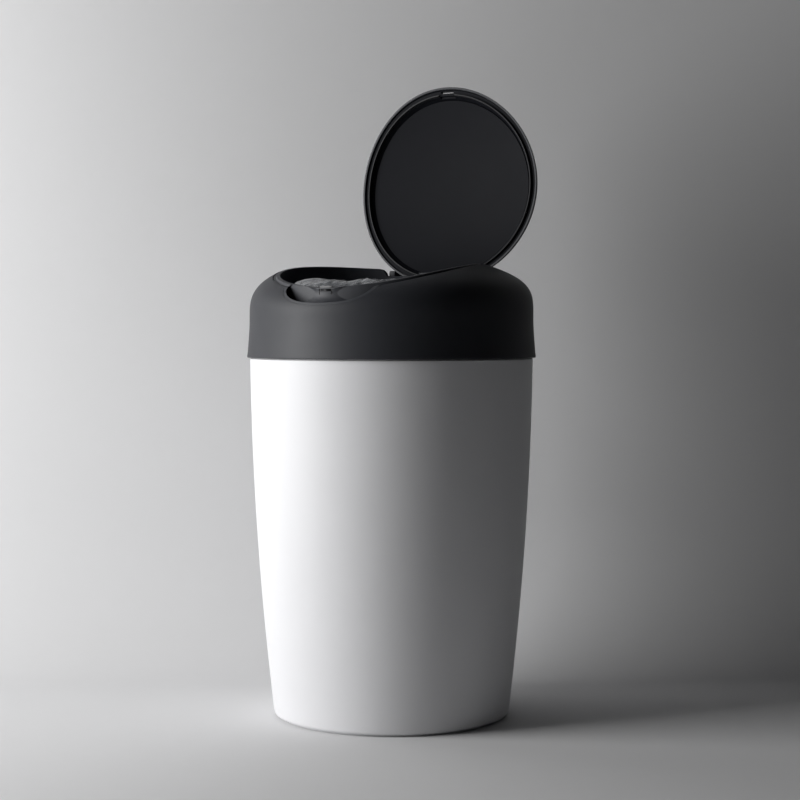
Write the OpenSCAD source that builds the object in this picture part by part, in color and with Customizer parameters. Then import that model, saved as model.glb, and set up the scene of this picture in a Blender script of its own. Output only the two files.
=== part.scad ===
// Nappy bin: a white tub, a dark lift-off head with a hinged lid, and a
// turning carrier for a ring-shaped refill cassette whose film lines the mouth.
// Millimetres, +Z up, the front (finger scoop) faces -Y, the origin is the
// middle of the base. The lid is drawn open, as it stands in use.

/* [Tub] */
// Radius of the tub's side at the floor
tub_base_r = 101.9; // [90:0.1:110]
// Radius of the tub's side just below the head
tub_top_r = 122.3; // [116:0.1:124]
// How far the side bows out at half height
tub_bow = 4.2; // [0:0.1:8]
// Wall thickness of the tub
tub_wall = 2.4; // [1.6:0.1:3.2]
// Thickness of the tub's floor
tub_floor = 3; // [2:0.1:5]
// Radius where the side turns in to the foot
tub_edge_r = 100.6; // [88:0.1:101]
// Height of the ring that the tub stands on
foot_h = 1.8; // [1:0.1:3]
// Distance of the foot ring from the tub's edge
foot_inset = 2.6; // [1.5:0.1:5]
// Width of the foot ring
foot_w = 4; // [3:0.1:6]
// Height of the neck that enters the head
neck_h = 18.7; // [14:0.1:24]
// Step from the side to the neck
neck_step = 2.1; // [1.6:0.1:3]
// Groove under the head where the side ends
neck_gap = 0.8; // [0.4:0.1:1.5]

/* [Head] */
// Height of the skirt's lower edge
head_z = 310.4; // [260:0.1:340]
// Radius of the head above the skirt's flare
head_r = 122.8; // [121.5:0.1:124]
// How far the skirt flares out at its edge
flare = 2.2; // [1:0.1:4]
// Height of the flare
flare_h = 33; // [15:0.5:33]
// Wall thickness of the head
head_wall = 2.3; // [1.8:0.1:2.6]
// Height of the head's straight side above its edge
side_h = 33.6; // [30:0.1:40]
// Height of the crown's highest line above the straight side
crown_h = 46.4; // [40:0.1:55]
// Radius of the crown's curve from front to back
crown_r = 380; // [330:1:450]
// Place of the crown's highest line behind the axis
crown_y = 22; // [10:0.5:32]

/* [Mouth] */
// Radius of the round hole that the lid closes
mouth_r = 90.3; // [86:0.1:92]
// Distance of the mouth's centre in front of the tub's axis
mouth_y = 22.45; // [18:0.05:24]
// Gap between the collar and the head
seam = 0.4; // [0.3:0.05:0.8]
// Inner radius of the collar
collar_r = 84; // [83.6:0.1:85]
// Wall thickness of the collar
collar_wall = 2; // [1.6:0.1:2.4]
// Height of the collar's lip above the crown's line
lip_h = 0.2; // [0:0.1:0.5]
// Distance that the lip's curve stands in front of the crown's
lip_shift = 4.5; // [0:0.5:5]
// Depth of the collar's wall below its lip at the front
collar_h = 17; // [14:0.5:22]

/* [Finger scoop] */
// Radius of the scoop's hollow
scoop_r = 8.35; // [6:0.05:10]
// Radius of the arc that the scoop follows
scoop_bend = 43; // [35:0.5:50]
// Distance of the scoop's centre line in front of the mouth's centre
scoop_out = 95.4; // [93:0.1:98]
// Height of the scoop's centre line below the front of the mouth
scoop_drop = 1.5; // [0:0.1:4]

/* [Lid] */
// Gap between the lid and the head
lid_gap = 0.8; // [0.6:0.05:1.2]
// Height of the lid's edge
lid_edge = 5.5; // [5.2:0.1:6.5]
// Rise of the lid's dome above its edge
lid_rise = 14; // [12.5:0.1:17]
// Wall thickness of the lid's shell
lid_wall = 1.9; // [1.5:0.1:2.1]
// Angle from shut to open
lid_open = 101.3; // [70:0.1:102]
// Radius of the step in the lid's liner
step_r = 82.3; // [80:0.1:83]
// Radius of the liner's dished panel
panel_r = 79.3; // [70:0.1:80]
// Height of the liner's flange above the crown's line
flange_lift = 2.2; // [2.1:0.05:2.6]
// Height of the panel's edge above the crown's line
panel_lift = 5; // [4.5:0.1:6.5]
// Rise of the dished panel
panel_rise = 4.3; // [2:0.1:6]
// Wall thickness of the liner
liner_wall = 1; // [0.8:0.1:1.1]
// Depth of the seal below the liner's flange
seal_h = 2.4; // [0.8:0.1:2.6]

/* [Hinge] */
// Distance of the hinge's axis behind the tub's axis
hinge_y = 71.5; // [68:0.1:76]
// Height of the hinge's axis above the skirt's edge
hinge_up = 63.1; // [61:0.1:65]
// Thickness of the rolled cover
roll_wall = 2; // [1.5:0.1:3]
// Half width of the hinge well
well_w = 47; // [40:0.5:52]
// Running gap round the rolled cover
roll_gap = 1; // [0.6:0.1:1.5]
// Lean of the wall that the open lid rests against
stop_lean = 28.5; // [27:0.5:35]
// Radius of the hinge pins
pin_r = 2.5; // [2:0.1:3.5]
// Length of a hinge pin
pin_l = 20; // [18:0.5:24]
// Running clearance of a pin in the lid's ear
pin_fit = 0.06; // [0.02:0.01:0.1]
// Thickness of the lid's hinge arms
arm_w = 6; // [4:0.1:7]
// Reach of the arms in front of the hinge
arm_reach = 13.6; // [12:0.1:14.5]
// Half width of the notch in the rim in front of the hinge
notch_w = 35.2; // [30:0.1:38]
// Radius that the rim's ends are rounded to at the notch
notch_round = 9.4; // [6:0.1:10]
// Depth of the notch below the crown's top
notch_h = 7.9; // [6:0.1:9]

/* [Latch] */
// Width of the catch that stands in the collar's lip
catch_w = 11.6; // [8:0.1:14]
// Thickness of the catch
catch_t = 1; // [0.8:0.1:1.2]
// Height of the catch above the lip
catch_up = 1.1; // [0.6:0.1:1.6]
// Distance of the catch from the mouth's centre
catch_at = 85.7; // [85.2:0.1:86]
// Gap between the catch and the lid's slot
catch_gap = 0.5; // [0.3:0.05:0.8]
// Width of the recess in the liner
recess_w = 15; // [12:0.1:20]
// Height of the recess above the crown's line
recess_lift = 4.6; // [3.6:0.1:4.7]
// Height of the window below the catch
window_h = 2; // [1.4:0.1:2.6]

/* [Tray and carrier] */
// Thickness of the tray
tray_t = 2.5; // [2:0.1:3.5]
// Depth of the tray's well below its rim
tray_deep = 23.3; // [18:0.1:30]
// Inner radius of the tray's well
tray_r = 87.5; // [87:0.1:88.5]
// Outer radius of the carrier's wall
carrier_r = 83.2; // [82.6:0.1:83.4]
// Wall thickness of the carrier
carrier_wall = 1.6; // [1.2:0.1:2]
// Height of the carrier's wall
carrier_h = 50; // [44:0.5:52]
// Thickness of the carrier's floor
carrier_floor = 2.5; // [2:0.1:3]
// Radius of the carrier's neck
neck_r = 59; // [56:0.1:60]
// Length of the carrier's neck below its floor
neck_l = 12; // [9:0.5:15]
// Running gap of the carrier
run_gap = 0.4; // [0.3:0.05:0.6]
// Number of ratchet teeth, a multiple of four
teeth = 48; // [24:4:60]
// Height of a ratchet tooth
tooth_h = 2.4; // [1.5:0.1:2.6]
// Number of drive ribs inside the carrier
ribs = 4; // [2:1:6]
// Width of a drive rib
rib_w = 8; // [5:0.5:12]

/* [Cassette] */
// Radius of the cassette's cup
cup_r = 78.6; // [76:0.1:78.8]
// Radius of the bore through the cassette
bore_r = 56; // [54:0.1:58]
// Height of the cup
cup_h = 52; // [46:0.5:53]
// Wall thickness of the cup
cup_wall = 1.6; // [1.2:0.1:2]
// Radius of the cap
cap_r = 81; // [80:0.1:81.3]
// Thickness of the cap
cap_t = 2; // [1.5:0.1:3]
// Width of the slot that the film leaves by
film_slot = 3.2; // [2:0.1:4]
// Number of pleats in the stored film
pleats = 9; // [6:1:12]

/* [Film] */
// Height of the film's billow above the cassette
billow_h = 10.5; // [4:0.5:15]
// Radius of the film's throat
throat_r = 14; // [10:0.5:16]
// Radius of the closed film bag below the gripper
bag_r = 40; // [25:0.5:46]
// Length of the film bag below the gripper
bag_l = 62; // [40:1:90]
// Number of folds round the film
folds = 9; // [5:1:12]
// Depth of the folds
fold_d = 2.2; // [0.5:0.1:3]

/* [Gripper and cutter] */
// Number of gripper fingers
fingers = 16; // [8:1:20]
// Radius of the hole between the fingertips
grip_r = 20; // [18:0.5:24]
// Fall of the fingers from the ring to their tips
grip_fall = 12; // [8:0.5:16]
// Width of the film cutter
cutter_w = 30; // [24:0.5:36]
// Height of the film cutter
cutter_h = 12; // [10:0.5:15]

/* [Hidden] */
$fn = 128;
eps = 0.01;
seat_gap = 0.2;
far = 600;

white = [0.93, 0.93, 0.94];
charcoal = [0.2, 0.2, 0.22];
black = [0.1, 0.1, 0.11];
steel = [0.72, 0.73, 0.75];
film_grey = [0.62, 0.64, 0.67];
cassette_blue = [0.75, 0.8, 0.84];

// Heights worked out from the skirt's edge
side_z = head_z + side_h;
crown_z = side_z + crown_h;
hinge_z = head_z + hinge_up;
step_z = head_z - neck_gap;
tub_h = step_z + neck_h;
tray_z = tub_h + seat_gap;
tray_bottom = tray_z - tray_deep;
carrier_z = tray_bottom + tray_t + run_gap;
carrier_in = carrier_r - carrier_wall;
cup_z = carrier_z + carrier_floor + eps;
cap_z = cup_z + cup_h;
cap_top = cap_z + cap_t;

// The crown's line from front to back, as a height over y
function crown_at(y, lift = 0) = crown_z - crown_r + sqrt(pow(crown_r + lift, 2) - pow(y - crown_y, 2));
// Distance from the tub's axis to the mouth's edge, in the direction a
function mouth_at(a) = -mouth_y * sin(a) + sqrt(pow(mouth_r, 2) - pow(mouth_y * cos(a), 2));
// The shoulder is fuller where it is wider
function fullness(a) = 2.5 + (head_r - mouth_at(a)) / 28;
// A point of the crown's skin: w runs from the straight side to the mouth
function crown_point(a, w, inset) =
    let (side = head_r - inset, edge = mouth_at(a), r = side - (side - edge) * pow(w, fullness(a)))
    let (top = crown_at(edge * sin(a)) - inset)
    [r * cos(a), r * sin(a), side_z + (top - side_z) * w];

front_edge_z = crown_at(-mouth_y - mouth_r);
scoop_z = front_edge_z - scoop_drop;
scoop_y = -mouth_y - scoop_out + scoop_bend;

// Solid below the crown's curve, raised by lift
module under_crown(lift = 0) {
    translate([0, crown_y, crown_z - crown_r])
        rotate([0, 90, 0]) cylinder(r = crown_r + lift, h = 2 * far, center = true, $fn = 360);
}

// Everything inside radius r of the mouth's axis
module in_mouth(r) {
    translate([0, -mouth_y, 0]) cylinder(r = r, h = far);
}

// A band of the crown's curve between two radii and two lifts
module crown_band(r_out, r_in, lift_low, lift_high) {
    difference() {
        intersection() {
            in_mouth(r_out);
            under_crown(lift_high);
        }
        under_crown(lift_low);
        in_mouth(r_in);
    }
}

// Circle through three points of a plane: [y, z, radius]
function circle_through(a, b, c) =
    let (d = 2 * (a[0] * (b[1] - c[1]) + b[0] * (c[1] - a[1]) + c[0] * (a[1] - b[1])))
    let (qa = a * a, qb = b * b, qc = c * c)
    let (y = (qa * (b[1] - c[1]) + qb * (c[1] - a[1]) + qc * (a[1] - b[1])) / d)
    let (z = (qa * (c[0] - b[0]) + qb * (a[0] - c[0]) + qc * (b[0] - a[0])) / d)
    [y, z, sqrt(pow(a[0] - y, 2) + pow(a[1] - z, 2))];

// Solid below a dome that leaves the crown's curve at radius r, lift above it,
// and rises by rise at the mouth's centre
module under_dome(r, lift, rise, steps = 18) {
    front = [-mouth_y - r, crown_at(-mouth_y - r) + lift];
    back = [-mouth_y + r, crown_at(-mouth_y + r) + lift];
    side = crown_at(-mouth_y) + lift;
    arc = circle_through(front, [-mouth_y, side + rise], back);
    cross_r = (r * r + rise * rise) / (2 * rise);
    reach = min(1.2 * r, 0.95 * cross_r);
    profile = [for (i = [0:2 * steps])
        let (x = -reach + reach * i / steps)
        [arc[2] - cross_r + sqrt(cross_r * cross_r - x * x), x]];
    translate([0, arc[0], arc[1]])
        rotate([0, 90, 0]) rotate_extrude($fn = 360) polygon(concat([[0, -reach]], profile, [[0, reach]]));
}

// Turns what is drawn shut to where the open lid stands
module opened() {
    translate([0, hinge_y, hinge_z])
        rotate([-lid_open, 0, 0]) translate([0, -hinge_y, -hinge_z]) children();
}

// A closed ring of rings of points, joined by triangles: a shell's two skins
// are split along the same diagonals
module ring_mesh(rings) {
    n = len(rings[0]);
    m = len(rings);
    points = [for (ring = rings) for (p = ring) p];
    faces = [for (k = [0:m - 1]) for (i = [0:n - 1]) for (half = [0:1])
        let (a = k * n + i, b = k * n + (i + 1) % n)
        let (c = ((k + 1) % m) * n + (i + 1) % n, d = ((k + 1) % m) * n + i)
        2 * k < m - 1 ? (half == 0 ? [a, c, b] : [a, d, c]) : (half == 0 ? [a, d, b] : [b, d, c])];
    polyhedron(points = points, faces = faces, convexity = 8);
}

crown_sides = 72;
crown_rows = 8;
function crown_ring(w, inset) =
    [for (i = [0:crown_sides - 1]) crown_point(360 * i / crown_sides, w, inset)];
// The crown's lowest ring, let down by drop
function crown_foot(inset, drop) = [for (p = crown_ring(0, inset)) [p[0], p[1], side_z - drop]];

skirt_rows = 6;
// A ring of the side: t runs from the skirt's edge to the end of the flare
function skirt_ring(t, inset) = [for (i = [0:crown_sides - 1])
    let (a = 360 * i / crown_sides, r = head_r + flare * pow(1 - t, 1.5) - inset)
    [r * cos(a), r * sin(a), head_z + flare_h * t]];

// The head's shell, one loft from the round skirt to the mouth's edge
module head_shell() {
    ring_mesh(concat(
        [for (k = [0:skirt_rows]) skirt_ring(k / skirt_rows, 0)],
        [for (k = [1:crown_rows]) crown_ring(k / crown_rows, 0)],
        [for (k = [0:crown_rows - 1]) crown_ring(1 - k / crown_rows, head_wall)],
        [for (k = [0:skirt_rows]) skirt_ring(1 - k / skirt_rows, head_wall)]));
}

// Everything under the crown's skin, moved in by inset
module under_skin(inset = 0) {
    core = 1;
    drop = 60;
    hub = [for (i = [0:crown_sides - 1])
        let (a = 360 * i / crown_sides)
        [core * cos(a), core * sin(a) - mouth_y]];
    ring_mesh(concat(
        [[for (p = hub) [p[0], p[1], side_z - drop]], crown_foot(inset, drop)],
        [for (k = [0:crown_rows]) crown_ring(k / crown_rows, inset)],
        [[for (p = hub) [p[0], p[1], crown_z + lip_h]]]));
}

// The scoop's hollow, grown by grow
module scoop(grow = 0) {
    sweep = 150;
    translate([0, scoop_y, scoop_z]) rotate([0, 0, -90 - sweep / 2])
        rotate_extrude(angle = sweep, $fn = 96)
            translate([scoop_bend, 0]) circle(r = scoop_r + grow, $fn = 48);
}

// Tub

function tub_side(z) = tub_base_r + (tub_top_r - tub_base_r) * z / step_z
    + tub_bow * (1 - pow(2 * z / step_z - 1, 2));
neck_out = tub_top_r - neck_step;

module tub() {
    steps = 20;
    round_h = 2.2;
    low = foot_h + round_h;
    foot_out = tub_edge_r - foot_inset;
    lip = 0.8;
    corner = 5;
    outer = [for (i = [0:steps]) let (z = low + (step_z - low) * i / steps) [tub_side(z), z]];
    inner_low = foot_h + tub_floor;
    inner_top = step_z - tub_wall;
    inner = [for (i = [steps:-1:0])
        let (z = inner_low + corner + (inner_top - inner_low - corner) * i / steps)
        [tub_side(z) - tub_wall, z]];
    outline = concat(
        [[0, foot_h], [foot_out - foot_w, foot_h], [foot_out - foot_w, 0], [foot_out, 0],
         [foot_out, foot_h], [tub_edge_r, foot_h], [tub_side(low) - 0.5, foot_h + 0.3 * round_h]],
        outer,
        [[neck_out, step_z], [neck_out, tub_h - lip], [neck_out - lip, tub_h],
         [neck_out - tub_wall + lip, tub_h], [neck_out - tub_wall, tub_h - lip],
         [neck_out - tub_wall, step_z]],
        inner,
        [[tub_side(inner_low) - tub_wall - 0.3 * corner, inner_low + 0.3 * corner],
         [tub_side(inner_low) - tub_wall - corner, inner_low], [0, inner_low]]);
    color(white) rotate_extrude() polygon(outline);
}

// Hinge, drawn with the lid shut: 2D shapes lie in the plane of Y and Z

module about_hinge(width, at = 0) {
    translate([at - width / 2, hinge_y, hinge_z]) rotate([90, 0, 90]) linear_extrude(width) children();
}

module hinge_rod(r, width, at = 0) {
    translate([at - width / 2, hinge_y, hinge_z]) rotate([0, 90, 0]) cylinder(r = r, h = width);
}

lid_r = mouth_r - lid_gap;
lid_back = lid_r - mouth_y;
lid_back_z = crown_at(lid_back) + lid_edge;
roll_r = sqrt(pow(lid_back - hinge_y, 2) + pow(lid_back_z - hinge_z, 2));
roll_top = atan2(lid_back_z - hinge_z, lid_back - hinge_y);
roll_end = 4;
roll_w = 2 * (well_w - roll_gap);
well_r = roll_r + roll_gap;
well_wall = 2;
well_front = collar_r + collar_wall - mouth_y;
lug_in = 29;
lug_w = 5;
arm_x = lug_in + lug_w + roll_gap + arm_w / 2 + 0.5;
boss_r = pin_r + 3.5;
arm_low = 5;
arm_high = 6.6;
arm_lean = 1.4;
arm_swing = sqrt(pow(arm_reach, 2) + pow(arm_low, 2)) + roll_gap;
notch_z = crown_z - notch_h;
notch_back = 57;
notch_front = 40;
rim_top = crown_z - 0.8;
pin_at = well_w + well_wall + boss_r / 2 - pin_l / 2;

module sector(from, to) {
    polygon([[0, 0], far * [cos(from), sin(from)],
        2 * far * [cos((from + to) / 2), sin((from + to) / 2)], far * [cos(to), sin(to)]]);
}

module hinge_pin(side) {
    color(steel) hinge_rod(pin_r, pin_l, side * pin_at);
}

module hinge_pin_left() { hinge_pin(-1); }
module hinge_pin_right() { hinge_pin(1); }

// A round trough about the hinge that opens into a leaning wall behind it
module well_form(r, width, front, gain) {
    top = 40;
    dip = 8;
    rear = well_r + gain;
    intersection() {
        hinge_rod(r, width);
        about_hinge(width) polygon([[front, 5], [front, -top], [2 * r, -top], [2 * r, 5]]);
    }
    about_hinge(width) polygon([[front, -dip * cos(stop_lean)], [front, top],
        [rear + top * tan(stop_lean), top], [rear - dip * sin(stop_lean), -dip * cos(stop_lean)]]);
}

// The well that the lid's rolled cover turns in
module hinge_well() {
    front = well_front - hinge_y;
    intersection() {
        difference() {
            well_form(well_r + well_wall, 2 * (well_w + well_wall), front, well_wall / cos(stop_lean));
            well_form(well_r, 2 * well_w, front + well_wall, 0);
        }
        under_skin(0.2);
    }
}

// Lugs and side bosses that hold the pins
module hinge_lugs() {
    lug_x = lug_in + lug_w / 2;
    web = 0.9 * boss_r;
    for (side = [-1, 1]) {
        hinge_rod(boss_r, lug_w, side * lug_x);
        about_hinge(lug_w, side * lug_x)
            translate([well_front + eps - hinge_y, -web]) square([hinge_y - well_front - eps, 2 * web]);
        hinge_rod(boss_r, boss_r / 2 + eps, side * (well_w + well_wall + boss_r / 4));
    }
}

// Pockets between the rim and the well that the lid's arms lie in when it is shut
module arm_pockets(grow = 0) {
    width = arm_w + 2 * (roll_gap + grow);
    back = well_front + well_wall + eps - hinge_y;
    front = arm_lean - arm_reach - roll_gap - grow;
    for (side = [-1, 1]) intersection() {
        union() {
            hinge_rod(arm_swing + grow, width, side * arm_x);
            about_hinge(width, side * arm_x) translate([front, 0]) square([back + 1 - front, far / 4]);
        }
        about_hinge(width, side * arm_x)
            translate([-2 * well_r, -2 * well_r]) square([back + 2 * well_r, far / 2]);
    }
}

// The deck between the rim and the hinge well, with the thicker ends of the rim
module hinge_deck() {
    deck_front = 35.5;
    ends_front = 46.5;
    back = well_front + eps;
    half = well_w + well_wall;
    ends = notch_w + notch_round + 2;
    intersection() {
        crown_band(far / 4, collar_r, -ledge_drop - ledge_t, -ledge_drop);
        translate([-half, deck_front, 0]) cube([2 * half, back - deck_front, far]);
    }
    difference() {
        intersection() {
            translate([-ends, ends_front, notch_z - ledge_t]) cube([2 * ends, back - ends_front, far]);
            under_crown(-ledge_drop);
        }
        in_mouth(collar_r + eps);
    }
}

// The notch in the rim that the lid's arms and cover turn through
module rim_notch() {
    wide = notch_w + notch_round;
    deep = notch_back - notch_front;
    translate([-notch_w, notch_front, notch_z]) cube([2 * notch_w, deep + 3, far]);
    translate([-wide, notch_back, notch_z]) cube([2 * wide, 13, far]);
    for (side = [-1, 1]) difference() {
        translate([side * (wide + notch_w - 1) / 2 - (notch_round + 1) / 2, notch_front, notch_z])
            cube([notch_round + 1, deep + 1, far]);
        translate([side * wide, notch_front - 10, rim_top - notch_round])
            rotate([-90, 0, 0]) cylinder(r = notch_round, h = deep + 23);
    }
}

// Head

module front_box(width, r_in, r_out, z_low, z_high) {
    translate([-width / 2, -mouth_y - r_out, z_low]) cube([width, r_out - r_in, z_high - z_low]);
}

lip_w = 3.5;
ledge_t = 2.2;
ledge_drop = 0.5;
snap_h = 8;
scoop_wall = 2;
collar_out = mouth_r - seam;
slot_w = catch_w + 2 * catch_gap;
slot_in = catch_at - catch_t / 2 - catch_gap;
slot_out = catch_at + catch_t / 2 + catch_gap;
collar_bottom = front_edge_z - collar_h;
catch_z = crown_at(-mouth_y - catch_at);
lip_z = crown_at(lip_shift - mouth_y - catch_at) + lip_h;
catch_low = lip_z - 6;
window_z = lip_z - 3.4;

// A ring under the lip's curve, from the mouth to radius r
module lip_ring(r) {
    difference() {
        intersection() {
            in_mouth(r);
            translate([0, -lip_shift, 0]) under_crown(lip_h);
        }
        in_mouth(collar_r);
    }
}

module collar() {
    well_side = 2 * (well_w + well_wall);
    behind = well_front + well_wall / 2 - hinge_y;
    color(charcoal) difference() {
        union() {
            difference() {
                union() {
                    difference() {
                        lip_ring(collar_r + collar_wall);
                        translate([-far, -far, 0]) cube([2 * far, 2 * far, collar_bottom]);
                    }
                    difference() {
                        lip_ring(collar_r + lip_w);
                        under_crown(-ledge_drop - ledge_t);
                    }
                    crown_band(collar_out, collar_r, -ledge_drop - ledge_t, -ledge_drop);
                    crown_band(collar_out, collar_out - collar_wall, -ledge_drop - snap_h, -ledge_drop);
                    hinge_deck();
                    difference() {
                        intersection() {
                            arm_pockets(well_wall);
                            under_crown(-ledge_drop);
                        }
                        in_mouth(collar_r + eps);
                    }
                    difference() {
                        intersection() {
                            scoop(scoop_wall);
                            under_skin(0.1);
                        }
                        in_mouth(collar_r + eps);
                    }
                }
                about_hinge(well_side) polygon([[behind, -far / 4], [behind, far / 4],
                    [far / 4, far / 4], [far / 4, -far / 4]]);
            }
            hinge_well();
            hinge_lugs();
        }
        difference() {
            scoop();
            in_mouth(collar_r + collar_wall + 0.2);
        }
        arm_pockets();
        rim_notch();
        front_box(slot_w, slot_in, slot_out, catch_low, catch_z + far / 10);
        front_box(slot_w, catch_at, mouth_r, window_z, window_z + window_h);
        for (side = [-1, 1]) hinge_rod(pin_r + eps, pin_l + eps, side * pin_at);
    }
}

module latch_catch() {
    nose = 0.4;
    front = catch_at + catch_t / 2;
    color(black) union() {
        front_box(catch_w, front - catch_t, front, catch_low + 0.1, lip_z + catch_up);
        front_box(catch_w - 2, front - eps, front + nose, window_z + 0.4, window_z + window_h - 0.4);
    }
}

post_at = 110.5;
post_r = 4.5;
screw_r = 1.9;
screw_in = 12;
screw_head = 4;

module at_posts() {
    for (i = [0:3]) rotate([0, 0, 45 + 90 * i]) translate([post_at, 0, 0]) children();
}

module housing() {
    half = well_w + well_wall + seam;
    ahead = 26;
    behind = well_r + (well_wall + seam) / cos(stop_lean) + 3.5;
    color(charcoal) difference() {
        union() {
            head_shell();
            intersection() {
                at_posts() translate([0, 0, tray_z + tray_t]) cylinder(r = post_r, h = crown_h + side_h);
                under_skin(head_wall / 2);
            }
        }
        translate([-half, hinge_y - ahead, hinge_z - 16]) cube([2 * half, ahead + behind, far]);
        scoop(scoop_wall + seam / 2);
        at_posts() translate([0, 0, tray_z]) cylinder(r = screw_r, h = tray_t + screw_in);
    }
}

tray_out = neck_out - 0.7;

module tray() {
    bore = neck_r + run_gap;
    color(charcoal) difference() {
        union() {
            translate([0, 0, tray_z]) cylinder(r = tray_out, h = tray_t);
            translate([0, -mouth_y, tray_bottom]) cylinder(r = tray_r + tray_t - 0.5, h = tray_deep);
        }
        translate([0, -mouth_y, tray_bottom + tray_t]) cylinder(r = tray_r, h = far);
        translate([0, -mouth_y, 0]) cylinder(r = bore, h = far);
        at_posts() translate([0, 0, tray_z - 1]) cylinder(r = screw_r + 0.2, h = tray_t + 2);
    }
}

module tray_screws() {
    head_t = 2;
    color(steel) at_posts() {
        translate([0, 0, tray_z - head_t]) cylinder(r = screw_head, h = head_t);
        translate([0, 0, tray_z - eps]) cylinder(r = screw_r - 0.05, h = tray_t + screw_in - 1);
    }
}

// Twist ring: the carrier that turns the cassette

module at_mouth(z = 0) {
    translate([0, -mouth_y, z]) children();
}

module ratchet(outer, base, h) {
    pitch = 360 / teeth;
    outline = [for (i = [0:teeth - 1]) for (p = [[0, base], [0.15, outer], [0.4, outer], [1, base]])
        let (a = pitch * (i + p[0]) + (p[0] == 1 ? -0.02 : 0)) p[1] * [cos(a), sin(a)]];
    linear_extrude(h) polygon(outline);
}

tooth_band = 5;

module twist_ring() {
    rib_end = cup_r + 0.4;
    color(charcoal) at_mouth(carrier_z) difference() {
        union() {
            cylinder(r = carrier_r, h = carrier_h);
            ratchet(carrier_r + tooth_h, carrier_r - 0.2, tooth_band);
            translate([0, 0, -neck_l]) cylinder(r = neck_r, h = neck_l + 1);
        }
        difference() {
            translate([0, 0, carrier_floor]) cylinder(r = carrier_in, h = carrier_h);
            for (i = [0:ribs - 1]) rotate([0, 0, 45 + 360 * i / ribs])
                translate([rib_end, -rib_w / 2, 0]) cube([carrier_r - rib_end, rib_w, carrier_h - 4]);
        }
        translate([0, 0, -neck_l - 1]) cylinder(r = neck_r - carrier_wall, h = far);
    }
}

module cassette_cup() {
    color(cassette_blue) at_mouth(cup_z) difference() {
        cylinder(r = cup_r, h = cup_h - eps);
        translate([0, 0, cup_wall]) difference() {
            cylinder(r = cup_r - cup_wall, h = cup_h);
            cylinder(r = bore_r + cup_wall, h = cup_h - film_slot);
        }
        translate([0, 0, cup_h - film_slot]) cylinder(r = cup_r - cup_wall, h = far);
        translate([0, 0, -1]) cylinder(r = bore_r, h = far);
    }
}

module cassette_cap() {
    lip_deep = 4;
    cap_in = bore_r + cup_wall + film_slot;
    lip_r = cup_r - cup_wall - 0.1;
    color(cassette_blue) at_mouth(cap_z) difference() {
        union() {
            cylinder(r = cap_r, h = cap_t);
            translate([0, 0, -lip_deep]) cylinder(r = lip_r, h = lip_deep + eps);
        }
        translate([0, 0, -lip_deep - 1]) cylinder(r = cap_in, h = far);
        translate([0, 0, -lip_deep - 1]) cylinder(r = lip_r - cup_wall, h = lip_deep + 1);
        for (i = [0:ribs - 1]) rotate([0, 0, 45 + 360 * i / ribs])
            translate([cup_r + 0.2, -rib_w / 2 - 0.3, -1]) cube([far, rib_w + 0.6, far]);
    }
}

module film_pack() {
    low = cup_z + cup_wall + 0.3;
    high = cap_z - 5.5;
    pack_in = bore_r + cup_wall + 1;
    pack_out = cup_r - cup_wall - 1.5;
    layer = 5;
    rise = (high - low) / (2 * pleats);
    up = [for (i = [0:2 * pleats]) [i % 2 == 0 ? pack_in : pack_out - layer, low + rise * i]];
    down = [for (i = [2 * pleats:-1:0]) [i % 2 == 0 ? pack_in + layer : pack_out, low + rise * i]];
    color(film_grey) at_mouth() rotate_extrude($fn = 64) polygon(concat(up, down));
}

// Film: from the cassette's slot, over the mouth, down the throat and into the bag

film_t = 0.8;
grip_z = tray_bottom - grip_fall - 9;
film_line = [
    [bore_r + cup_wall + film_slot / 2 + 0.4, cap_z + 0.3],
    [bore_r + cup_wall + film_slot / 2, cap_top + 2],
    [bore_r - 1, cap_top + 0.75 * billow_h],
    [bore_r - 10, cap_top + billow_h],
    [bore_r - 19, cap_top + 0.7 * billow_h],
    [bore_r - 27, cap_top - 6],
    [0.3 * bore_r + 6, (cap_top + grip_z) / 2 + 6],
    [throat_r + 2, grip_z + 14],
    [throat_r, grip_z - 2],
    [0.8 * bag_r, grip_z - 0.22 * bag_l],
    [bag_r, grip_z - 0.45 * bag_l],
    [0.85 * bag_r, grip_z - 0.7 * bag_l],
    [0.4 * bag_r, grip_z - 0.9 * bag_l],
    [4, grip_z - bag_l]];
film_sides = 40;
// Share of the full fold depth at each step along the film
fold_share = [0, 0, 0.6, 1, 1, 1, 0.9, 0.3, 0.1, 0.7, 0.9, 0.9, 0.6, 0.1];

function film_ring(k, off) = [for (i = [0:film_sides - 1])
    let (a = 360 * i / film_sides, wave = fold_d * fold_share[k] * cos(folds * a + 6 * k))
    let (r = film_line[k][0] - off * film_out[k][0] + 0.6 * wave)
    let (z = film_line[k][1] - off * film_out[k][1] + 0.4 * wave)
    [r * cos(a), r * sin(a), z]];
// Outward direction of the film at each step
film_out = [for (k = [0:len(film_line) - 1])
    let (a = film_line[max(k - 1, 0)], b = film_line[min(k + 1, len(film_line) - 1)])
    let (d = (b - a) / norm(b - a)) [-d[1], d[0]]];

module film_sleeve() {
    last = len(film_line) - 1;
    color(film_grey) at_mouth() union() {
        ring_mesh(concat(
            [for (k = [0:last]) film_ring(k, film_t)],
            [for (k = [last:-1:0]) film_ring(k, 0)]));
        translate([0, 0, grip_z - bag_l - 5]) sphere(r = 7, $fn = 32);
    }
}

// Gripper: a ring of bending fingers that holds the twisted film

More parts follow.
